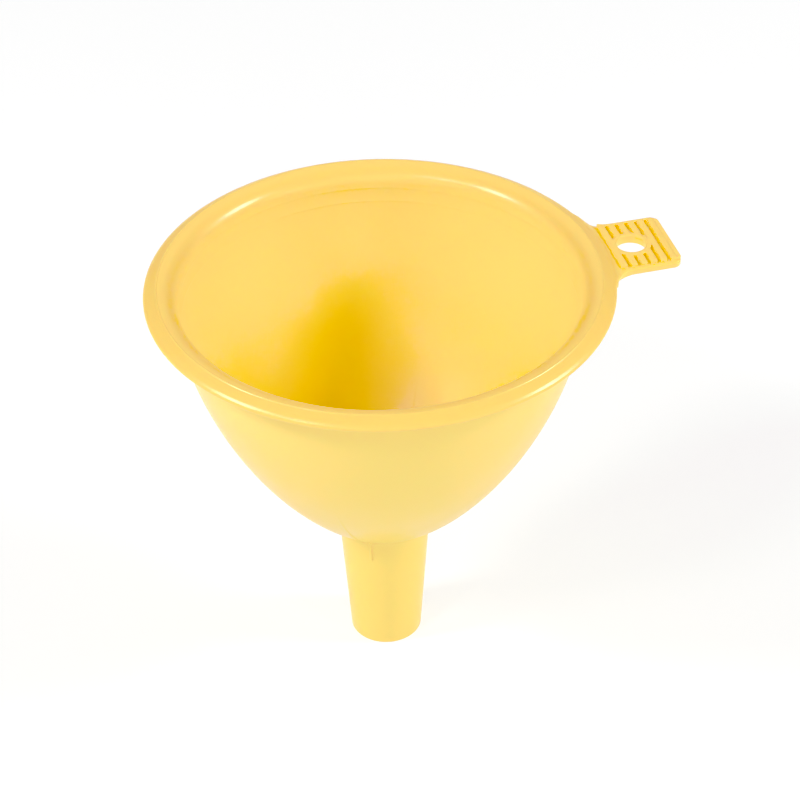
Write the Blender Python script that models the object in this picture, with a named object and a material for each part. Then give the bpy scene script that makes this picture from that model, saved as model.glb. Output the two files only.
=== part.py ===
"""Pouring funnel: one injection moulding in soft yellow plastic, modelled as its named zones.

Frame: +Z up, the funnel's axis is Z, the spout's flat end lies at z = 0 and the hang tab points
along +X. All lengths and angles below are in millimetres and degrees; MM turns them into metres.
"""

import math

import bmesh
import bpy

MM = 0.001
SEAM_GAP = 0.3              # clearance kept where two zones of the moulding meet

# Wall
BOWL_WALL = 1.5
TIP_WALL = 1.2

# Spout: a tube that tapers down to a flat end
SPOUT_TOP_Z = 37.0
SPOUT_TOP_R = 12.1
SPOUT_TIP_R = 9.5
TIP_CHAMFER = 0.3

# Bowl: a deep rounded cup, r = BOWL_R * (1 - depth ** BOWL_FALL) ** BOWL_FULLNESS
BOWL_R = 52.8
BOWL_BRIM_Z = 113.1
BOWL_APEX_DEPTH = 79.6      # depth below the brim where the curve would close on the axis
BOWL_FALL = 1.67
BOWL_FULLNESS = 0.65
THROAT_BLEND = 1.6          # size of the soft hollow where the bowl meets the spout

# Rim: the wall flares out to a crest and rolls over into an outer lip
RIM_START_Z = 110.2
RIM_CREST_R = 56.5
RIM_CREST_Z = 115.2
RIM_LIP_R = 60.0
RIM_LIP_Z = 113.1

# Spacer ribs on the spout, which leave air a way out of a bottle's neck
RIB_ANGLES = (57.4, 237.4)
RIB_WIDTH = 0.8
RIB_HEIGHT = 0.6
RIB_FOOT_Z = 30.8

# Hang tab: a ridged finger grip with a hanging hole
TAB_END_X = 77.7
TAB_HALF_WIDTH = 10.1
TAB_BOTTOM_Z = 110.9
TAB_FLOOR_Z = 112.6
TAB_CORNER_R = 2.2
TAB_ROOT_FILLET_R = 6.0
TAB_ROOT_BLUNT = 0.4        # where the thin ends of the root fillets are cut off
RIDGE_TOP_Z = 113.2
RIDGE_PITCH = 2.67
FIRST_RIDGE_X = 62.25
RIDGE_COUNT = 6
RIDGE_WIDTH = 1.75
RIDGE_HALF_LENGTH = 9.2
HOLE_X = 67.2
HOLE_R = 3.85
HOLE_RING_R = 5.2

# Facets
ROUND_STEPS = 60
SPOUT_STEPS = 48
ARC_STEPS = 6


def clear_scene():
    for item in list(bpy.data.objects):
        bpy.data.objects.remove(item, do_unlink=True)


def plastic(name, colour, roughness):
    material = bpy.data.materials.new(name)
    material.use_nodes = True
    shader = material.node_tree.nodes["Principled BSDF"]
    shader.inputs["Base Color"].default_value = (*colour, 1.0)
    shader.inputs["Roughness"].default_value = roughness
    shader.inputs["Metallic"].default_value = 0.0
    material.diffuse_color = (*colour, 1.0)
    return material


def finish_object(name, mesh_builder, material=None):
    """Turn a bmesh into a smooth-shaded object with outward faces."""
    bmesh.ops.recalc_face_normals(mesh_builder, faces=mesh_builder.faces)
    mesh = bpy.data.meshes.new(name)
    mesh_builder.to_mesh(mesh)
    mesh_builder.free()
    mesh.shade_smooth()
    mesh.set_sharp_from_angle(angle=math.radians(35))
    item = bpy.data.objects.new(name, mesh)
    bpy.context.collection.objects.link(item)
    if material:
        mesh.materials.append(material)
    return item


def turned(name, section, steps, material):
    """Spin a closed section of (radius, height) points once around the Z axis."""
    builder = bmesh.new()
    loop = [builder.verts.new((r * MM, 0.0, z * MM)) for r, z in section]
    edges = [builder.edges.new((loop[i - 1], loop[i])) for i in range(len(loop))]
    bmesh.ops.spin(builder, geom=loop + edges, cent=(0, 0, 0), axis=(0, 0, 1),
                   angle=2 * math.pi, steps=steps, use_merge=True)
    bmesh.ops.remove_doubles(builder, verts=builder.verts, dist=1e-7)
    return finish_object(name, builder, material)


def slab(name, outline, low_z, high_z, material=None):
    """Extrude a flat outline of (x, y) points from one height to another."""
    builder = bmesh.new()
    face = builder.faces.new([builder.verts.new((x * MM, y * MM, low_z * MM)) for x, y in outline])
    raised = bmesh.ops.extrude_face_region(builder, geom=[face])["geom"]
    tops = [piece for piece in raised if isinstance(piece, bmesh.types.BMVert)]
    bmesh.ops.translate(builder, verts=tops, vec=(0, 0, (high_z - low_z) * MM))
    return finish_object(name, builder, material)


def combine(target, tool, operation):
    """Add or cut a tool body with a Boolean, and keep the tool as a hidden guide."""
    modifier = target.modifiers.new(tool.name, "BOOLEAN")
    modifier.operation = operation
    modifier.solver = "EXACT"
    modifier.object = tool
    tool.hide_render = True
    tool.display_type = "WIRE"


def arc(centre, radius, start, end, steps=ARC_STEPS):
    """Points along a circular arc, angles in degrees."""
    angles = [math.radians(start + (end - start) * i / steps) for i in range(steps + 1)]
    return [(centre[0] + radius * math.cos(a), centre[1] + radius * math.sin(a)) for a in angles]


# ---------------------------------------------------------------- wall of the spout and bowl

def outer_radius(z):
    """Outside of the moulding at a height: the spout's cone blended into the bowl's curve."""
    cone = SPOUT_TIP_R + (SPOUT_TOP_R - SPOUT_TIP_R) * z / SPOUT_TOP_Z
    depth = max(0.0, min(1.0, (BOWL_BRIM_Z - z) / BOWL_APEX_DEPTH))
    bowl = BOWL_R * (1 - depth ** BOWL_FALL) ** BOWL_FULLNESS
    return 0.5 * (cone + bowl + math.hypot(cone - bowl, THROAT_BLEND))


def wall_thickness(z):
    return TIP_WALL + (BOWL_WALL - TIP_WALL) * min(1.0, z / SPOUT_TOP_Z)


def inner_point(z):
    """The point one wall thickness inside the outer surface, square to it."""
    step = 0.01
    slope = (outer_radius(z + step) - outer_radius(z - step)) / (2 * step)
    length = math.hypot(1.0, slope)
    wall = wall_thickness(z)
    return outer_radius(z) - wall / length, z + wall * slope / length


def spaced(low, high, count, power=1.0):
    """Heights between two limits, closer together at the low end when power is above 1."""
    return [low + (high - low) * (i / count) ** power for i in range(count + 1)]


def make_spout(material):
    heights = spaced(TIP_CHAMFER, SPOUT_TOP_Z, 6)
    outside = [(outer_radius(z), z) for z in heights]
    inside = [inner_point(z) for z in heights]
    tip = [(inside[0][0] + TIP_CHAMFER, 0.0), (outside[0][0] - TIP_CHAMFER, 0.0)]
    spout = turned("spout", outside + inside[::-1] + tip, SPOUT_STEPS, material)
    for angle in RIB_ANGLES:
        combine(spout, spacer_rib(angle), "UNION")
    return spout


def spacer_rib(angle):
    """A short upright rib on the outside of the spout's top, with a sloped foot."""
    top = SPOUT_TOP_Z - SEAM_GAP
    side = [
        (outer_radius(RIB_FOOT_Z) - RIB_HEIGHT, RIB_FOOT_Z),
        (outer_radius(RIB_FOOT_Z) + RIB_HEIGHT, RIB_FOOT_Z + 2 * RIB_HEIGHT),
        (outer_radius(top) + RIB_HEIGHT, top),
        (outer_radius(top) - RIB_HEIGHT, top),
    ]
    builder = bmesh.new()
    face = builder.faces.new([builder.verts.new((r * MM, -RIB_WIDTH / 2 * MM, z * MM)) for r, z in side])
    raised = bmesh.ops.extrude_face_region(builder, geom=[face])["geom"]
    backs = [piece for piece in raised if isinstance(piece, bmesh.types.BMVert)]
    bmesh.ops.translate(builder, verts=backs, vec=(0, RIB_WIDTH * MM, 0))
    rib = finish_object("rib_guide_%d" % round(angle), builder)
    rib.rotation_euler.z = math.radians(angle)
    return rib


def make_bowl(material):
    heights = spaced(SPOUT_TOP_Z + SEAM_GAP, RIM_START_Z - SEAM_GAP, 14, power=1.4)
    outside = [(outer_radius(z), z) for z in heights]
    inside = [inner_point(z) for z in heights]
    return turned("bowl", outside + inside[::-1], ROUND_STEPS, material)


# ---------------------------------------------------------------- rim

def rim_centreline():
    """Middle of the rim's wall: up the flare to the crest, then down the outer roll."""
    half = BOWL_WALL / 2
    foot_r = outer_radius(RIM_START_Z) - half
    flare_width = RIM_CREST_R - foot_r
    flare_height = RIM_CREST_Z - half - RIM_START_Z
    roll_width = RIM_LIP_R - half - RIM_CREST_R
    roll_height = RIM_CREST_Z - half - RIM_LIP_Z
    quarter = [math.radians(90 * i / ARC_STEPS) for i in range(ARC_STEPS + 1)]
    flare = [(RIM_CREST_R - flare_width * math.cos(a), RIM_START_Z + flare_height * math.sin(a))
             for a in quarter]
    roll = [(RIM_CREST_R + roll_width * math.sin(a), RIM_LIP_Z + roll_height * math.cos(a))
            for a in quarter[1:]]
    return flare + roll


def offset_path(path, distance):
    """Shift a path sideways, to its left for a positive distance."""
    shifted = []
    for i, (r, z) in enumerate(path):
        before = path[max(i - 1, 0)]
        after = path[min(i + 1, len(path) - 1)]
        dr, dz = after[0] - before[0], after[1] - before[1]
        length = math.hypot(dr, dz)
        shifted.append((r - distance * dz / length, z + distance * dr / length))
    return shifted


def make_rim(material):
    path = rim_centreline()
    half = BOWL_WALL / 2
    top_side = offset_path(path, half)
    under_side = offset_path(path, -half)
    lip_end = arc(path[-1], half, 0, -180, 6)[1:-1]
    return turned("rim", top_side + lip_end + under_side[::-1], ROUND_STEPS, material)


# ---------------------------------------------------------------- hang tab

def root_fillet():
    """Hollow curve from the rim to the tab's side, from the rim outwards, on the +Y side."""
    centre_y = TAB_HALF_WIDTH + TAB_ROOT_FILLET_R
    centre_x = math.sqrt((RIM_LIP_R + TAB_ROOT_FILLET_R) ** 2 - centre_y ** 2)
    touch = math.degrees(math.atan2(centre_y, centre_x))
    curve = arc((centre_x, centre_y), TAB_ROOT_FILLET_R, 180 + touch, 270, 12)
    inner_r = RIM_LIP_R + SEAM_GAP + TAB_ROOT_BLUNT
    return [point for point in curve if math.hypot(*point) > inner_r]


def tab_outline():
    fillet = root_fillet()
    corner_x = TAB_END_X - TAB_CORNER_R
    corner_y = TAB_HALF_WIDTH - TAB_CORNER_R
    upper = fillet + arc((corner_x, corner_y), TAB_CORNER_R, 90, 0, 6)
    lower = [(x, -y) for x, y in reversed(upper)]
    root_angle = math.degrees(math.atan2(fillet[0][1], fillet[0][0]))
    root = arc((0, 0), RIM_LIP_R + SEAM_GAP, -root_angle, root_angle, 14)
    return upper + lower + root


def ridge_outline(x):
    """A bar across the tab with round ends."""
    radius = RIDGE_WIDTH / 2
    reach = RIDGE_HALF_LENGTH - radius
    return arc((x, reach), radius, 0, 180, 6) + arc((x, -reach), radius, 180, 360, 6)


def make_hang_tab(material):
    tab = slab("hang_tab", tab_outline(), TAB_BOTTOM_Z, TAB_FLOOR_Z, material)
    sunk = TAB_FLOOR_Z - SEAM_GAP
    for i in range(RIDGE_COUNT):
        x = FIRST_RIDGE_X + i * RIDGE_PITCH
        combine(tab, slab("ridge_guide_%d" % i, ridge_outline(x), sunk, RIDGE_TOP_Z), "UNION")
    ring = arc((HOLE_X, 0), HOLE_RING_R, 0, 360, 32)[:-1]
    hole = arc((HOLE_X, 0), HOLE_R, 0, 360, 32)[:-1]
    combine(tab, slab("ring_guide", ring, sunk, RIDGE_TOP_Z), "UNION")
    combine(tab, slab("hole_guide", hole, TAB_BOTTOM_Z - 1, RIDGE_TOP_Z + 1), "DIFFERENCE")
    return tab


def main():
    clear_scene()
    make_spout(plastic("spout_plastic", (0.96, 0.75, 0.20), 0.38))
    make_bowl(plastic("bowl_plastic", (0.95, 0.73, 0.19), 0.38))
    make_rim(plastic("rim_plastic", (0.95, 0.72, 0.18), 0.32))
    make_hang_tab(plastic("tab_plastic", (0.94, 0.70, 0.14), 0.38))


main()
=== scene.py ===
"""Looks for the funnel: one seamless yellow moulding, its plastic, floor, lights and camera.

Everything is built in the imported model's frame: +Z up, the spout's end at z = 0, the hang tab along
+X. The moulding's lengths are named in millimetres, and MM turns them into metres. The studio's are
in metres.
"""

import math

import bmesh
import bpy
import numpy as np
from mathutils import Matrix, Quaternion, Vector

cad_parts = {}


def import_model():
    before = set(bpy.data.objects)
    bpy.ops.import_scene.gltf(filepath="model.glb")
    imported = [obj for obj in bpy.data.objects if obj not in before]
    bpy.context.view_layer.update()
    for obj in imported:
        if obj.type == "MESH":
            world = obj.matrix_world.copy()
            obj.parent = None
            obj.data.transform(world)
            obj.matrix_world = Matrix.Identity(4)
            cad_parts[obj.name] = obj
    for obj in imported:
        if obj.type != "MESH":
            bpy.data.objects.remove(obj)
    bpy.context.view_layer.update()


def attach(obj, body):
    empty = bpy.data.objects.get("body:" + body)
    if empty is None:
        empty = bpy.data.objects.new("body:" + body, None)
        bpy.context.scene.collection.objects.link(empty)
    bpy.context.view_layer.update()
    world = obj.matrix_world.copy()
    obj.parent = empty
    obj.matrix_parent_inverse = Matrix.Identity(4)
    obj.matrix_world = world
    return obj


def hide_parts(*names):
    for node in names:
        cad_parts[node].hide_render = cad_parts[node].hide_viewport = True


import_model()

MM = 0.001

# Wall of the bowl and spout
BOWL_WALL = 1.5
TIP_WALL = 1.2
SPOUT_TOP_Z = 37.0
SPOUT_TOP_R = 12.1
SPOUT_TIP_R = 9.5
TIP_ROUND = 0.35
BOWL_R = 52.8
BOWL_BRIM_Z = 113.1
BOWL_APEX_DEPTH = 79.6
BOWL_FALL = 1.67
BOWL_FULLNESS = 0.65
THROAT_BLEND = 1.6

# Rim
RIM_START_Z = 110.2
RIM_CREST_R = 56.5
RIM_CREST_Z = 115.0
RIM_LIP_R = 60.0
RIM_LIP_Z = 113.1
ROLL_CENTRES = ((57.2, 113.93), (58.0, 113.6), (58.7, 113.22), (59.18, 112.8))
CREST_LINE_HEIGHT = 0.16
CREST_LINE_WIDTH = 0.2
CREST_LINE_OUT = 0.05         # how far outside the crest the fine line runs
BEAD_DROPS = (5.2, 9.1)       # the two fine beads inside, below the crest
BEAD_HEIGHT = 0.05
BEAD_WIDTH = 0.3

# Spacer ribs outside, and the fine line inside
RIB_ANGLES = (57.4, 237.4)
RIB_HEIGHT = 0.55
RIB_HALF_WIDTH = 0.36
RIB_FOOT_Z = 31.0
RIB_FOOT_RUN = 0.9            # height over which the rib rises from the wall
RIB_LINE_ABOVE = 1.5          # this far above the spout's top the rib starts to shrink to a line
RIB_LINE_RUN = 3.0
RIB_LINE_HEIGHT = 0.2
RIB_FADE_Z = 68.0
RIB_FADE_RUN = 14.0
INNER_LINE_ANGLE = 58.0
INNER_LINE_HEIGHT = 0.18
INNER_LINE_FOOT_Z = 36.0
INNER_LINE_FOOT_RUN = 4.0
INNER_LINE_TOP_Z = 60.0
INNER_LINE_FADE_RUN = 8.0

# Hang tab
TAB_END_X = 77.64
TAB_HALF_WIDTH = 10.45
TAB_BOTTOM_Z = 110.75
TAB_FLOOR_Z = 112.4
TAB_CORNER_R = 2.2
TAB_EDGE_R = 0.35
TAB_START_R = 48.0            # the tab's plan rectangle starts here, hidden by the rim's disc
TAB_ROOT_R = 58.4
TAB_ROOT_FILLET_R = 6.0
ROOT_INSET = 0.25             # the disc that the tab joins is this much smaller than the lip
ROOT_HALF_WIDTH = 15.5
ROOT_END_THICKNESS = 0.7
NO_TAB_DISTANCE = 5.0         # stands for "far away" on the side without a tab
LEAST_BLEND = 0.1             # the fillet between rim and tab, at JOIN_R
TAB_ROOT_BLEND = 2.2          # it grows by this much further out
BLEND_START = 0.4             # beginning this far past JOIN_R
BLEND_RUN = 2.0
RIDGE_TOP_Z = 113.22
RIDGE_PITCH = 2.665
FIRST_RIDGE_X = 62.4
RIDGE_COUNT = 5
RIDGE_HALF_WIDTH = 0.85
RIDGE_CORNER_R = 0.8
RIDGE_EDGE_R = 0.22
RIDGE_FOOT_R = 0.1
RIDGE_SINK = 0.3              # the ridges' solid starts this far above the tab's underside
RIDGE_NEAR_END = -9.4
RIDGE_FAR_END = 9.75
END_RIDGE_X = 74.9            # the last ridge runs from here to the end of the tab
END_LINE_X = 76.7             # with a faint line along it
END_LINE_DEPTH = 0.12
END_LINE_WIDTH = 0.35
HOLE_X = 67.2
HOLE_R = 3.85
HOLE_RING_R = 5.2
HOLE_EDGE_R = 0.25

# Mesh resolution of the turned wall
JOIN_R = 57.0                 # the turned surface meets the tab-and-lip surface here
WALL_SAMPLES = 900
WALL_GAP = 0.15               # the sampled wall stops this far short of the rim's flare
RIM_SAMPLES = 60
LIP_SAMPLES = 15
TIP_SAMPLES = 6
SLOPE_STEP = 0.01
CREST_STEP = 0.11             # spacing within CREST_REACH of the line along the crest
CREST_REACH = 0.7
BEAD_STEP = 0.17              # spacing within BEAD_REACH of a bead
BEAD_REACH = 0.8
# Spacing elsewhere: the top of a band of heights, and the step within it
INNER_BANDS = ((34, 3.0), (50, 1.6), (RIM_START_Z - 1, 3.0), (math.inf, 0.6))
OUTER_BANDS = ((29, 3.2), (33, 0.5), (44, 0.9), (RIM_START_Z - 1, 2.8), (math.inf, 0.7))

# Grid of angles in degrees, radii and heights for the lip and tab
PLAIN_STEP = 2.3              # where nothing sticks out
TAB_STEP = 0.19
TAB_SECTOR = 14.6
RIB_STEP = 0.26
RIB_SECTOR = 2.8
FIRST_CELL_R = 0.01           # thin, so that its points lie at JOIN_R
CELL_R = 0.21
CELL_Z = 0.18
GRID_END_R = TAB_END_X + 0.7
GRID_BOTTOM_Z = TAB_BOTTOM_Z - 0.45
GRID_TOP_Z = RIM_CREST_Z + 0.5
SETTLE_ROUNDS = 4
SETTLE_REACH = 0.15           # the furthest that a point moves in one round
LEAST_SLOPE = 0.2
FAR = 1e9
TINY = 1e-9


# ---------------------------------------------------------------- the turned wall

def outer_radius(z):
    """Outside of the moulding at a height: the spout's cone blended into the bowl's curve."""
    cone = SPOUT_TIP_R + (SPOUT_TOP_R - SPOUT_TIP_R) * z / SPOUT_TOP_Z
    depth = np.clip((BOWL_BRIM_Z - z) / BOWL_APEX_DEPTH, 0.0, 1.0)
    bowl = BOWL_R * (1 - depth ** BOWL_FALL) ** BOWL_FULLNESS
    return 0.5 * (cone + bowl + np.hypot(cone - bowl, THROAT_BLEND))


def outer_slope(z):
    """How fast the outside widens with height."""
    return (outer_radius(z + SLOPE_STEP) - outer_radius(z - SLOPE_STEP)) / (2 * SLOPE_STEP)


def inner_points(z):
    """Points one wall thickness inside the outer surface, square to it."""
    slope = outer_slope(z)
    length = np.hypot(1.0, slope)
    wall = TIP_WALL + (BOWL_WALL - TIP_WALL) * np.minimum(1.0, z / SPOUT_TOP_Z)
    return np.stack([outer_radius(z) - wall / length, z + wall * slope / length], axis=1)


def rim_centreline(steps):
    """Middle of the rim's wall: up the flare to the crest, then down the outer roll."""
    half = BOWL_WALL / 2
    foot_r = outer_radius(RIM_START_Z) - half
    turn = np.linspace(0, math.pi / 2, steps)
    flare_r = RIM_CREST_R - (RIM_CREST_R - foot_r) * np.cos(turn)
    flare_z = RIM_START_Z + (RIM_CREST_Z - half - RIM_START_Z) * np.sin(turn)
    knots = np.array([(flare_r[-1], flare_z[-1])] + list(ROLL_CENTRES))
    along = np.linspace(0, len(knots) - 1, steps)[1:]
    roll_r = np.interp(along, range(len(knots)), knots[:, 0])
    roll_z = np.interp(along, range(len(knots)), knots[:, 1])
    return np.stack([np.concatenate([flare_r, roll_r]), np.concatenate([flare_z, roll_z])], axis=1)


def path_normals(path):
    """Unit vectors to the left of a path of (radius, height) points."""
    ahead = np.gradient(path, axis=0)
    ahead /= np.linalg.norm(ahead, axis=1)[:, None]
    return np.stack([-ahead[:, 1], ahead[:, 0]], axis=1)


def bell(distance, height, width):
    """Height of a smooth raised line at a distance from its middle."""
    return height * np.exp(-(distance / width) ** 2)


def ease(share):
    """Smooth step from 0 to 1 with flat ends."""
    return share * share * (3 - 2 * share)


def angle_gap(angle, other):
    """Degrees from one angle to another, between -180 and 180."""
    return (angle - other + 180) % 360 - 180


def resample(path, marks):
    """Walk a dense path and return points at the given distances along it."""
    run = np.concatenate([[0], np.cumsum(np.linalg.norm(np.diff(path, axis=0), axis=1))])
    return np.stack([np.interp(marks, run, path[:, 0]), np.interp(marks, run, path[:, 1])], axis=1)


def respace(path, step_at):
    """Points along a dense path, as far apart as step_at says at each place."""
    length = np.linalg.norm(np.diff(path, axis=0), axis=1).sum()
    marks = [0.0]
    while marks[-1] < length:
        place = resample(path, np.array([marks[-1]]))[0]
        marks.append(marks[-1] + step_at(place))
    marks = np.array(marks)
    return resample(path, marks * (length / marks[-1]))


def banded_step(height, bands):
    """The step for a height, from (top of band, step) pairs in rising order."""
    return next(step for band_top, step in bands if height < band_top)


def inner_step(place):
    """Distance to the next point inside, finest at the crest line and the two beads."""
    radius, height = place
    if abs(radius - RIM_CREST_R) < CREST_REACH and height > RIM_LIP_Z:
        return CREST_STEP
    if min(abs(RIM_CREST_Z - drop - height) for drop in BEAD_DROPS) < BEAD_REACH:
        return BEAD_STEP
    return banded_step(height, INNER_BANDS)


def outer_step(place):
    """Distance to the next point outside."""
    return banded_step(place[1], OUTER_BANDS)


def wall_paths():
    """Dense paths down the inside and up the outside, both with their rim end at JOIN_R."""
    half = BOWL_WALL / 2
    centre = rim_centreline(RIM_SAMPLES)
    normals = path_normals(centre)
    top = centre + half * normals
    under = centre - half * normals
    top_roll, under_roll = top[RIM_SAMPLES:], under[RIM_SAMPLES - 1:]
    top_end = [JOIN_R, np.interp(JOIN_R, top_roll[:, 0], top_roll[:, 1])]
    under_end = [JOIN_R, np.interp(JOIN_R, under_roll[:, 0], under_roll[:, 1])]
    top = top[top[:, 0] < JOIN_R][::-1]
    under = under[under[:, 0] < JOIN_R]

    heights = np.linspace(TIP_ROUND, RIM_START_Z - WALL_GAP, WALL_SAMPLES)
    inside = inner_points(heights)[::-1]
    outside = np.stack([outer_radius(heights), heights], axis=1)
    return np.concatenate([[top_end], top, inside]), np.concatenate([outside, under, [under_end]])


def tip_edge(foot, side):
    """Rounded edge from a wall face's foot to the flat end; side is +1 inside, -1 outside."""
    turn = np.linspace(0, math.pi / 2, TIP_SAMPLES)[1:-1]
    edge_r = foot[0] + side * TIP_ROUND * (1 - np.cos(turn))
    return np.stack([edge_r, foot[1] * (1 - np.sin(turn))], axis=1)


def turned_section():
    """The closed wall section without the outer lip, from the rim's top round to its underside."""
    inner_path, outer_path = wall_paths()
    inner_foot, outer_foot = inner_path[-1], outer_path[0]
    flat = np.array([[inner_foot[0] + TIP_ROUND, 0.0], [outer_foot[0] - TIP_ROUND, 0.0]])
    inner = respace(inner_path, inner_step)
    outer = respace(outer_path, outer_step)
    tip = [tip_edge(inner_foot, 1), flat, tip_edge(outer_foot, -1)[::-1]]
    section = np.concatenate([inner, *tip, outer])
    is_outer = np.zeros(len(section), dtype=bool)
    is_outer[-len(outer):] = True
    return section, is_outer


def rib_lift(rib_angle, angles, r, z):
    """How far a spacer rib stands out: tall at its foot, then a faint line up the bowl."""
    away = np.radians(angle_gap(angles, rib_angle))[:, None] * r[None, :]
    foot = np.clip((z - RIB_FOOT_Z) / RIB_FOOT_RUN, 0, 1)
    fade = np.clip((RIB_FADE_Z - z) / RIB_FADE_RUN, 0, 1)
    line = np.clip((z - SPOUT_TOP_Z - RIB_LINE_ABOVE) / RIB_LINE_RUN, 0, 1)
    tall = (RIB_HEIGHT * (1 - line) + RIB_LINE_HEIGHT * line) * foot * fade
    return tall[None, :] * np.exp(-(np.abs(away) / RIB_HALF_WIDTH) ** 4)


def inner_line_lift(angles, r, z):
    """How far the fine line inside the bowl stands out."""
    away = np.radians(angle_gap(angles, INNER_LINE_ANGLE))[:, None] * r[None, :]
    fade = np.clip((INNER_LINE_TOP_Z - z) / INNER_LINE_FADE_RUN, 0, 1)
    foot = np.clip((z - INNER_LINE_FOOT_Z) / INNER_LINE_FOOT_RUN, 0, 1)
    return (fade * foot)[None, :] * bell(away, INNER_LINE_HEIGHT, RIB_HALF_WIDTH)


def raise_details(section, is_outer, angles):
    """Grid of (radius, height) per angle and section point, with the fine raised details added."""
    normals = -path_normals(section)
    r, z = section[:, 0], section[:, 1]
    crest = bell(r - RIM_CREST_R - CREST_LINE_OUT, CREST_LINE_HEIGHT, CREST_LINE_WIDTH)
    rings = np.where(z > RIM_LIP_Z, crest, 0.0)
    for drop in BEAD_DROPS:
        rings += bell(z - (RIM_CREST_Z - drop), BEAD_HEIGHT, BEAD_WIDTH)
    inner_lift = rings[None, :] + inner_line_lift(angles, r, z)
    outer_lift = sum(rib_lift(rib_angle, angles, r, z) for rib_angle in RIB_ANGLES)
    lift = np.where(is_outer, outer_lift, inner_lift)
    return r + lift * normals[None, :, 0], z + lift * normals[None, :, 1]


# ---------------------------------------------------------------- the lip and tab, as distances

def round_union(a, b, radius):
    """Join two distance fields with a hollow fillet."""
    reach = np.hypot(np.maximum(radius - a, 0), np.maximum(radius - b, 0))
    return np.maximum(radius, np.minimum(a, b)) - reach


def round_cut(a, b, radius):
    """Cut b out of a with a rounded edge."""
    reach = np.hypot(np.maximum(radius + a, 0), np.maximum(radius - b, 0))
    return np.minimum(-radius, np.maximum(a, -b)) + reach


def raised_slab(flat_distance, z, low, high, edge):
    """Distance to a flat outline given thickness, with rounded edges."""
    across = flat_distance + edge
    along = np.abs(z - (low + high) / 2) - (high - low) / 2 + edge
    outside = np.hypot(np.maximum(across, 0), np.maximum(along, 0))
    return np.minimum(np.maximum(across, along), 0) + outside - edge


LIP_LINE = rim_centreline(LIP_SAMPLES)


def lip_distance(r, z):
    """Distance to the rim's wall: a line down the middle of the wall, with half its thickness."""
    nearest = np.full(np.shape(r), FAR)
    for (r0, z0), (r1, z1) in zip(LIP_LINE[:-1], LIP_LINE[1:]):
        dr, dz = r1 - r0, z1 - z0
        share = np.clip(((r - r0) * dr + (z - z0) * dz) / (dr * dr + dz * dz), 0, 1)
        nearest = np.minimum(nearest, np.hypot(r - r0 - share * dr, z - z0 - share * dz))
    return nearest - BOWL_WALL / 2


def tab_outline_distance(x, y, r):
    """Plan distance to the disc of the rim with the tab's rounded rectangle filleted on."""
    middle_x = (TAB_START_R + TAB_END_X) / 2
    side = np.abs(y) - TAB_HALF_WIDTH + TAB_CORNER_R
    end = np.abs(x - middle_x) - (TAB_END_X - middle_x) + TAB_CORNER_R
    block = (np.minimum(np.maximum(side, end), 0)
             + np.hypot(np.maximum(side, 0), np.maximum(end, 0)) - TAB_CORNER_R)
    return round_union(r - RIM_LIP_R + ROOT_INSET, block, TAB_ROOT_FILLET_R)


def block_distance(across, along):
    """Plan distance to a block with rounded corners, from its distances across and along."""
    across = across + RIDGE_CORNER_R
    along = along + RIDGE_CORNER_R
    outside = np.hypot(np.maximum(across, 0), np.maximum(along, 0))
    return np.minimum(np.maximum(across, along), 0) + outside - RIDGE_CORNER_R


def ridge_plan_distance(x, y, from_hole):
    """Plan distance to the raised pattern: ridges, the strip that joins them, and the ring."""
    near = RIDGE_NEAR_END - y
    raised = block_distance(END_RIDGE_X - x, near)
    for i in range(RIDGE_COUNT):
        middle = FIRST_RIDGE_X + i * RIDGE_PITCH
        raised = np.minimum(raised, block_distance(np.abs(x - middle) - RIDGE_HALF_WIDTH, near))
    first_side = FIRST_RIDGE_X - RIDGE_HALF_WIDTH - x
    raised = np.minimum(raised, np.maximum(RIDGE_FAR_END - y, first_side))
    return np.minimum(raised, from_hole - HOLE_RING_R)


def funnel_edge_distance(points):
    """Signed distance, in millimetres, to the outer lip and the hang tab."""
    x, y, z = points[..., 0], points[..., 1], points[..., 2]
    r = np.hypot(x, y)
    plan = tab_outline_distance(x, y, r)
    from_hole = np.hypot(x - HOLE_X, y)

    side = np.clip((np.abs(y) - TAB_HALF_WIDTH) / (ROOT_HALF_WIDTH - TAB_HALF_WIDTH), 0, 1)
    bottom = TAB_BOTTOM_Z + (TAB_FLOOR_Z - TAB_BOTTOM_Z - ROOT_END_THICKNESS) * ease(side)
    beside = np.where(x > 0, np.abs(y) - ROOT_HALF_WIDTH, NO_TAB_DISTANCE)
    outline = np.maximum(plan, np.maximum(TAB_ROOT_R - r, beside))
    plate = raised_slab(outline, z, bottom, TAB_FLOOR_Z, TAB_EDGE_R)

    top = RIDGE_TOP_Z - bell(x - END_LINE_X, END_LINE_DEPTH, END_LINE_WIDTH)
    pattern = np.maximum(ridge_plan_distance(x, y, from_hole), plan)
    ridges = raised_slab(pattern, z, TAB_BOTTOM_Z + RIDGE_SINK, top, RIDGE_EDGE_R)
    plate = round_union(plate, ridges, RIDGE_FOOT_R)
    plate = round_cut(plate, from_hole - HOLE_R, HOLE_EDGE_R)

    away = np.clip((r - JOIN_R - BLEND_START) / BLEND_RUN, 0, 1)
    return round_union(lip_distance(r, z), plate, LEAST_BLEND + TAB_ROOT_BLEND * ease(away))


def column_edges():
    """Angles of the grid's planes, closer together across the tab and the ribs."""
    marks = [-180.0]
    while marks[-1] < 180.0:
        here = marks[-1]
        step = PLAIN_STEP
        if abs(here) < TAB_SECTOR:
            step = TAB_STEP
        for rib_angle in RIB_ANGLES:
            if abs(angle_gap(here, rib_angle)) < RIB_SECTOR:
                step = RIB_STEP
        marks.append(here + step)
    marks = np.array(marks)
    marks[1:] = -180 + (marks[1:] + 180) * 360 / (marks[-1] + 180)
    return marks


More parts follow.
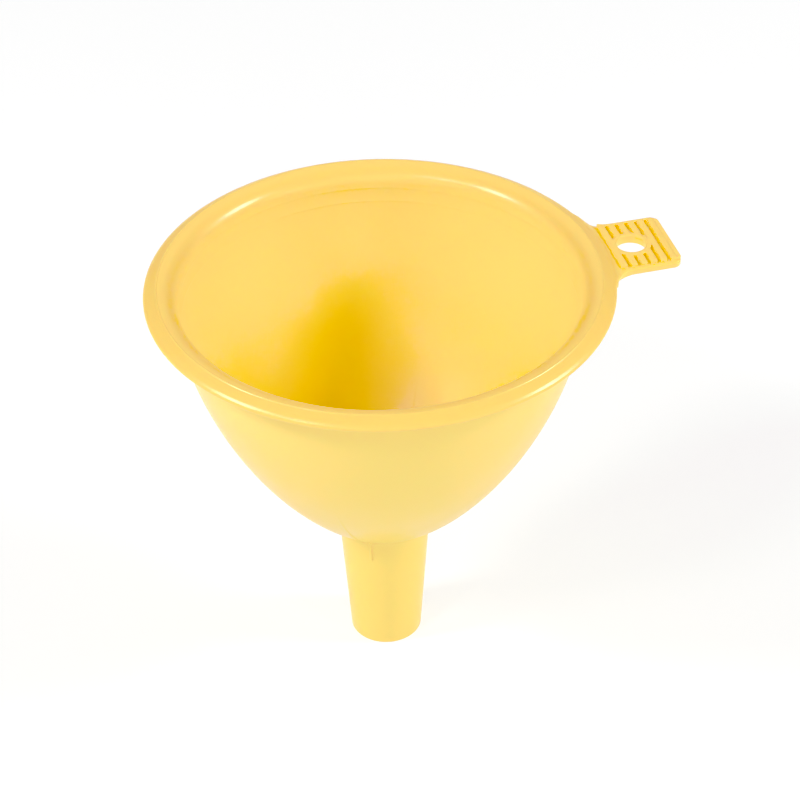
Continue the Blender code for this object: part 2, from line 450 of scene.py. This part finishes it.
def cell_points(values):
    """For each cell that the surface crosses, the mean of its edge crossings, in cell units."""
    n_i, n_j, n_k = (size - 1 for size in values.shape)
    total = np.zeros((n_i, n_j, n_k, 3), dtype=np.float32)
    count = np.zeros((n_i, n_j, n_k), dtype=np.float32)
    corners = [(a, b, c) for a in (0, 1) for b in (0, 1) for c in (0, 1)]

    def corner(a, b, c):
        return values[a:a + n_i, b:b + n_j, c:c + n_k]

    for start in corners:
        for axis in range(3):
            if start[axis]:
                continue
            end = list(start)
            end[axis] = 1
            low, high = corner(*start), corner(*end)
            crossed = (low < 0) != (high < 0)
            share = np.where(crossed, low / np.where(crossed, low - high, 1), 0)
            for k in range(3):
                value = start[k] + (share if k == axis else 0)
                total[..., k] += np.where(crossed, value, 0)
            count += crossed
    active = count > 0
    return active, total[active] / count[active][:, None]


def net_faces(values, ids):
    """Quads round every grid edge that the surface crosses; the first axis wraps round."""
    inside = values < 0
    quads = []

    def add(edge_cross, flip, cells):
        a, b, c, d = (cell[edge_cross] for cell in cells)
        turn = flip[edge_cross]
        quads.append(np.where(turn[:, None], np.stack([a, b, c, d], 1), np.stack([d, c, b, a], 1)))

    wrapped = np.concatenate([ids[-1:], ids], axis=0)
    here, before = wrapped[1:], wrapped[:-1]

    low, high = inside[:-1, 1:-1, :-1], inside[:-1, 1:-1, 1:]
    add(low != high, low,
        (before[:, :-1, :], here[:, :-1, :], here[:, 1:, :], before[:, 1:, :]))
    low, high = inside[:-1, :-1, 1:-1], inside[:-1, 1:, 1:-1]
    add(low != high, low,
        (before[:, :, :-1], before[:, :, 1:], here[:, :, 1:], here[:, :, :-1]))
    low, high = inside[:-1, 1:-1, 1:-1], inside[1:, 1:-1, 1:-1]
    add(low != high, low,
        (ids[:, :-1, :-1], ids[:, 1:, :-1], ids[:, 1:, 1:], ids[:, :-1, 1:]))
    return np.concatenate(quads)


def settle(points):
    """Move points onto the surface where the distance is zero."""
    for _ in range(SETTLE_ROUNDS):
        value = funnel_edge_distance(points)
        slope = np.empty_like(points)
        for axis in range(3):
            shift = np.zeros(3)
            shift[axis] = SLOPE_STEP
            rise = funnel_edge_distance(points + shift) - funnel_edge_distance(points - shift)
            slope[:, axis] = rise / (2 * SLOPE_STEP)
        steepness = np.maximum((slope ** 2).sum(axis=1), LEAST_SLOPE)
        move = -slope * (value / steepness)[:, None]
        length = np.maximum(np.linalg.norm(move, axis=1), TINY)
        points = points + move * np.minimum(1, SETTLE_REACH / length)[:, None]
    return points


def edge_surface(edges):
    """The outer lip with the hang tab, as a net of quads over an angle, radius and height grid."""
    radii = np.concatenate([[JOIN_R], np.arange(JOIN_R + FIRST_CELL_R, GRID_END_R, CELL_R)])
    heights = np.arange(GRID_BOTTOM_Z, GRID_TOP_Z, CELL_Z)
    angle = np.radians(edges)
    x = np.cos(angle)[:, None, None] * radii[None, :, None]
    y = np.sin(angle)[:, None, None] * radii[None, :, None]
    grid = np.stack(np.broadcast_arrays(x, y, heights[None, None, :]), axis=-1)
    values = funnel_edge_distance(grid)

    active, local = cell_points(values)
    cells = np.argwhere(active)
    ids = np.full(active.shape, -1, dtype=np.int64)
    ids[active] = np.arange(len(cells))
    spot_angle = angle[cells[:, 0]] + (angle[cells[:, 0] + 1] - angle[cells[:, 0]]) * local[:, 0]
    spot_r = radii[cells[:, 1]] + np.diff(radii)[cells[:, 1]] * local[:, 1]
    spot_z = heights[cells[:, 2]] + CELL_Z * local[:, 2]
    points = np.stack([spot_r * np.cos(spot_angle), spot_r * np.sin(spot_angle), spot_z], axis=1)
    return settle(points), net_faces(values, ids), cells


def build_moulding():
    """Join the turned wall to the lip and tab, sharing the points of the two rings between them."""
    edges = column_edges()
    middles = (edges[1:] + edges[:-1]) / 2
    section, is_outer = turned_section()
    radius, height = raise_details(section, is_outer, middles)
    n_columns, n_rows = radius.shape
    angle = np.radians(middles)[:, None]
    wall = np.stack([radius * np.cos(angle), radius * np.sin(angle), height], axis=-1)
    wall_ids = np.arange(n_columns * n_rows).reshape(n_columns, n_rows)

    lip_points, lip_faces, cells = edge_surface(edges)
    ring = np.where(cells[:, 1] == 0)[0]
    top_half = lip_points[ring, 2] > (section[0, 1] + section[-1, 1]) / 2
    renumber = np.arange(len(lip_points)) + wall_ids.size
    column = cells[ring, 0]
    renumber[ring] = np.where(top_half, wall_ids[column, 0], wall_ids[column, -1])

    following = np.roll(wall_ids, -1, axis=0)
    wall_faces = np.stack([
        wall_ids[:, :-1], wall_ids[:, 1:], following[:, 1:], following[:, :-1],
    ], axis=-1).reshape(-1, 4)
    points = np.concatenate([wall.reshape(-1, 3), lip_points]) * MM
    faces = np.concatenate([wall_faces, renumber[lip_faces]])[:, ::-1]
    used, compact = np.unique(faces, return_inverse=True)
    points, faces = points[used], compact.reshape(faces.shape)

    mesh = bpy.data.meshes.new("funnel_moulding")
    mesh.from_pydata(points.tolist(), [], faces.tolist())
    mesh.validate()
    mesh.shade_smooth()
    moulding = bpy.data.objects.new("funnel_moulding", mesh)
    bpy.context.collection.objects.link(moulding)
    return moulding


# ---------------------------------------------------------------- the plastic

PLASTIC_YELLOW = (0.93, 0.69, 0.13, 1)
FLOW_YELLOW = (0.925, 0.675, 0.1274, 1)
# Painted light: a paler tone on the upper wall and brim, standing in for light glowing through the
# thin wall
BRIM_PAINTED_LIGHT = (0.94, 0.7, 0.16, 1)
# Painted shade: a darker, deeper tone on the rim's flare and roll
RIM_PAINTED_SHADE = (0.9, 0.6, 0.115, 1)
# Painted shade: a darker tone down in the tab's grooves between the ridges
GROOVE_PAINTED_SHADE = (0.92, 0.63, 0.09, 1)

# Where each tone comes in, in millimetres, from none to full
BRIM_PAINTED_LIGHT_Z = (78.0, 103.0)
RIM_PAINTED_SHADE_Z = (110.5, 113.5)
GROOVE_PAINTED_SHADE_Z = (RIDGE_TOP_Z - 0.15, TAB_FLOOR_Z)
TAB_SIDE_Z = (TAB_FLOOR_Z - 0.5, TAB_FLOOR_Z - 0.1)
TAB_ONLY_X = (RIM_LIP_R + 0.8, RIM_LIP_R + 1.2)

# Noise scales are in cells per metre; SKIN_DEPTH and SCATTER_REACH are in metres
FLOW_SCALE = 28.0
FLOW_RANGE = (0.35, 0.7)
SMEAR_SCALE = 60.0
SMEAR_RANGE = (0.3, 0.7)
ROUGHNESS_RANGE = (0.28, 0.35)
SKIN_SCALE = 900.0
SKIN_STRENGTH = 0.06
SKIN_DEPTH = 0.0002
PLASTIC_IOR = 1.49
SPECULAR_LEVEL = 0.6
SCATTER_SHARE = 0.6
SCATTER_COLOUR = (1.0, 0.7, 0.2)
SCATTER_REACH = 0.0008


class Nodes:
    """Small helper that adds shader nodes and joins them."""

    def __init__(self, material):
        material.use_nodes = True
        self.tree = material.node_tree
        self.shader = self.tree.nodes["Principled BSDF"]

    def add(self, kind, inputs=None, **settings):
        node = self.tree.nodes.new(kind)
        for name, value in settings.items():
            setattr(node, name, value)
        for name, value in (inputs or {}).items():
            if isinstance(value, bpy.types.NodeSocket):
                self.tree.links.new(value, node.inputs[name])
            else:
                node.inputs[name].default_value = value
        return node

    def noise(self, place, scale, detail=2.0, roughness=0.5):
        inputs = {"Vector": place, "Scale": scale, "Detail": detail, "Roughness": roughness}
        return self.add("ShaderNodeTexNoise", inputs).outputs["Fac"]

    def stretch(self, value, low, high, to_low=0, to_high=1):
        """Carry a value from one range to another, and hold it at the ends."""
        inputs = {
            "Value": value, "From Min": low, "From Max": high, "To Min": to_low, "To Max": to_high,
        }
        return self.add("ShaderNodeMapRange", inputs).outputs["Result"]

    def share(self, place, start_and_end):
        """0 at a start in millimetres, 1 at an end, an even ramp between, and held beyond."""
        start, end = start_and_end
        return self.stretch(place, start * MM, end * MM)

    def times(self, a, b):
        node = self.add("ShaderNodeMath", operation="MULTIPLY")
        self.tree.links.new(a, node.inputs[0])
        self.tree.links.new(b, node.inputs[1])
        return node.outputs[0]

    def mix(self, share, colour_a, colour_b):
        node = self.add("ShaderNodeMix", {"Factor": share}, data_type="RGBA")
        for socket, value in ((node.inputs[6], colour_a), (node.inputs[7], colour_b)):
            if isinstance(value, bpy.types.NodeSocket):
                self.tree.links.new(value, socket)
            else:
                socket.default_value = value
        return node.outputs[2]

    def join(self, value, socket):
        self.tree.links.new(value, self.shader.inputs[socket])


def plastic_colour(nodes, place):
    """Flow marks, painted light as a paler brim, and painted shade as deeper tones on the rim and in
    the tab's grooves.
    """
    flow = nodes.noise(place, FLOW_SCALE, detail=3.0, roughness=0.55)
    colour = nodes.mix(nodes.stretch(flow, *FLOW_RANGE), PLASTIC_YELLOW, FLOW_YELLOW)
    parts = nodes.add("ShaderNodeSeparateXYZ", {"Vector": place}).outputs
    along, height = parts["X"], parts["Z"]
    # painted light: the upper wall and brim made paler
    colour = nodes.mix(nodes.share(height, BRIM_PAINTED_LIGHT_Z), colour, BRIM_PAINTED_LIGHT)
    # painted shade: the rim made darker and deeper
    colour = nodes.mix(nodes.share(height, RIM_PAINTED_SHADE_Z), colour, RIM_PAINTED_SHADE)
    # painted shade down in the tab's grooves, below the ridge tops and above the tab's sides
    below_ridges = nodes.share(height, GROOVE_PAINTED_SHADE_Z)
    above_side = nodes.share(height, TAB_SIDE_Z)
    on_tab = nodes.share(along, TAB_ONLY_X)
    groove_shade = nodes.times(nodes.times(below_ridges, above_side), on_tab)
    return nodes.mix(groove_shade, colour, GROOVE_PAINTED_SHADE)


def moulded_plastic():
    """Semi-gloss, slightly translucent yellow plastic with faint flow marks and handling wear."""
    material = bpy.data.materials.new("yellow_moulded_plastic")
    nodes = Nodes(material)
    place = nodes.add("ShaderNodeTexCoord").outputs["Object"]
    nodes.join(plastic_colour(nodes, place), "Base Color")

    smears = nodes.noise(place, SMEAR_SCALE, detail=4.0, roughness=0.6)
    nodes.join(nodes.stretch(smears, *SMEAR_RANGE, *ROUGHNESS_RANGE), "Roughness")

    skin = nodes.noise(place, SKIN_SCALE)
    relief = {"Height": skin, "Strength": SKIN_STRENGTH, "Distance": SKIN_DEPTH}
    nodes.join(nodes.add("ShaderNodeBump", relief).outputs["Normal"], "Normal")

    shader = nodes.shader.inputs
    shader["IOR"].default_value = PLASTIC_IOR
    shader["Specular IOR Level"].default_value = SPECULAR_LEVEL
    shader["Subsurface Weight"].default_value = SCATTER_SHARE
    shader["Subsurface Radius"].default_value = SCATTER_COLOUR
    shader["Subsurface Scale"].default_value = SCATTER_REACH
    return material


# ---------------------------------------------------------------- floor, light and camera

# Lengths here are in metres, except the lens and sensor, and the camera's angles are in radians
CAMERA_PLACE = (-0.1362, -0.5343, 0.4935)
CAMERA_HEADING = 0.25805
CAMERA_PITCH = 0.64744
CAMERA_ROLL = -0.01465
CAMERA_LENS = 118.95
CAMERA_SENSOR = 36

WHITE = (1, 1, 1, 1)
BLACK = (0, 0, 0, 1)
WORLD_STRENGTH = 0.03
FLOOR_REACH = 6.0
FLOOR_DROP = 0.0002           # keeps the floor just clear of the spout's end
FLOOR_COLOUR = (0.35, 0.35, 0.35, 1)
FLOOR_ROUGHNESS = 0.9
FLOOR_GLOW = 0.66             # glow at the funnel
GLOW_NEAR = 0.5               # from here out to GLOW_FAR it rises to white
GLOW_FAR = 1.6
BACKDROP_R = 9.0
LIGHT_TARGET = (0, 0, 0.08)
SOFTBOX_DISTANCE = 1.3
SOFTBOXES = (                 # name, azimuth, elevation, size, watts
    ("left_high", 180.0, 41, 0.25, 8.6),
    ("left_low", 165.7, 22, 0.4, 1.2),
    ("front_left_high", -144.3, 48, 0.2, 3.2),
    ("front_left_low", -141.3, 23, 0.35, 1.1),
    ("front_high", -104.3, 34, 0.9, 3.9),
    ("front_right_low", -56.3, 22, 0.16, 1.8),
    ("right_low", -12.0, 24, 0.4, 1.7),
    ("right_high", -18.0, 35, 0.3, 8.6),
    ("back_high", 75.7, 50, 0.9, 2.2),
)

# Tone curves of the picture: pairs of a light level and the level that it is graded to
RED_TONE = ((0.6, 0.69), (0.8, 0.867), (0.87, 0.91), (0.93, 0.938))
GREEN_TONE = (
    (0.3, 0.37), (0.467, 0.525), (0.55, 0.59), (0.62, 0.65), (0.7, 0.712), (0.8, 0.77),
    (0.87, 0.838), (0.95, 0.95),
)
BLUE_TONE = (
    (0.06, 0.001), (0.07, 0.01), (0.079, 0.026), (0.087, 0.05), (0.0925, 0.082), (0.105, 0.147),
    (0.125, 0.17), (0.17, 0.19), (0.216, 0.218), (0.3, 0.292), (0.4, 0.4),
)


def stage_piece(name, mesh, material):
    """Give a mesh its material and link it to the scene."""
    mesh.materials.append(material)
    piece = bpy.data.objects.new(name, mesh)
    bpy.context.collection.objects.link(piece)
    return piece


def floor():
    """A pale plane that glows like a light table, whiter away from the funnel."""
    reach = FLOOR_REACH
    corners = [(-reach, -reach, 0), (reach, -reach, 0), (reach, reach, 0), (-reach, reach, 0)]
    mesh = bpy.data.meshes.new("studio_floor")
    mesh.from_pydata(corners, [], [(0, 1, 2, 3)])
    material = bpy.data.materials.new("pale_floor")
    nodes = Nodes(material)
    nodes.shader.inputs["Base Color"].default_value = FLOOR_COLOUR
    nodes.shader.inputs["Roughness"].default_value = FLOOR_ROUGHNESS
    nodes.shader.inputs["Emission Color"].default_value = WHITE
    place = nodes.add("ShaderNodeTexCoord").outputs["Object"]
    length = nodes.add("ShaderNodeVectorMath", {"Vector": place}, operation="LENGTH")
    glow = nodes.stretch(length.outputs["Value"], GLOW_NEAR, GLOW_FAR, FLOOR_GLOW, 1)
    nodes.join(glow, "Emission Strength")
    stage_piece("studio_floor", mesh, material).location.z = -FLOOR_DROP


def backdrop():
    """A white dome far outside everything; only the camera sees it, so it lights nothing."""
    mesh = bpy.data.meshes.new("studio_backdrop")
    dome = bmesh.new()
    bmesh.ops.create_uvsphere(dome, u_segments=48, v_segments=24, radius=BACKDROP_R)
    dome.to_mesh(mesh)
    dome.free()
    material = bpy.data.materials.new("white_backdrop")
    shader = Nodes(material).shader.inputs
    shader["Base Color"].default_value = BLACK
    shader["Specular IOR Level"].default_value = 0
    shader["Emission Color"].default_value = WHITE
    shader["Emission Strength"].default_value = 1
    surround = stage_piece("studio_backdrop", mesh, material)
    surround.visible_diffuse = False
    surround.visible_glossy = False
    surround.visible_transmission = False
    surround.visible_shadow = False


def softbox(name, azimuth, elevation, size, watts):
    """A square area light that faces the middle of the bowl."""
    turn, lift = math.radians(azimuth), math.radians(elevation)
    level = math.cos(lift)
    away = Vector((math.cos(turn) * level, math.sin(turn) * level, math.sin(lift)))
    light = bpy.data.lights.new(name, "AREA")
    light.shape = "SQUARE"
    light.size = size
    light.energy = watts
    lamp = bpy.data.objects.new(name, light)
    lamp.location = Vector(LIGHT_TARGET) + away * SOFTBOX_DISTANCE
    lamp.rotation_euler = away.to_track_quat("Z", "Y").to_euler()
    bpy.context.collection.objects.link(lamp)


def camera():
    view = bpy.data.cameras.new("camera")
    view.lens = CAMERA_LENS
    view.sensor_width = CAMERA_SENSOR
    camera_object = bpy.data.objects.new("camera", view)
    camera_object.location = CAMERA_PLACE
    turn = (Quaternion((0, 0, 1), -CAMERA_HEADING)
            @ Quaternion((1, 0, 0), math.pi / 2 - CAMERA_PITCH)
            @ Quaternion((0, 0, 1), CAMERA_ROLL))
    camera_object.rotation_euler = turn.to_euler()
    bpy.context.collection.objects.link(camera_object)
    bpy.context.scene.camera = camera_object


def world():
    """A faint even light from all round."""
    surroundings = bpy.data.worlds.new("studio_world")
    surroundings.use_nodes = True
    background = surroundings.node_tree.nodes["Background"]
    background.inputs["Color"].default_value = WHITE
    background.inputs["Strength"].default_value = WORLD_STRENGTH
    bpy.context.scene.world = surroundings


def grade():
    """Put the tone curves into the scene's view settings."""
    settings = bpy.context.scene.view_settings
    settings.view_transform = "Standard"
    settings.use_curve_mapping = True
    for curve, tone in enumerate((RED_TONE, GREEN_TONE, BLUE_TONE)):
        for level, graded_level in tone:
            settings.curve_mapping.curves[curve].points.new(level, graded_level)
    settings.curve_mapping.update()


def studio():
    floor()
    backdrop()
    for settings in SOFTBOXES:
        softbox(*settings)
    world()
    grade()


moulding = build_moulding()
moulding.data.materials.append(moulded_plastic())
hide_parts("bowl", "rim", "spout", "hang_tab")
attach(moulding, "root")
camera()
studio()
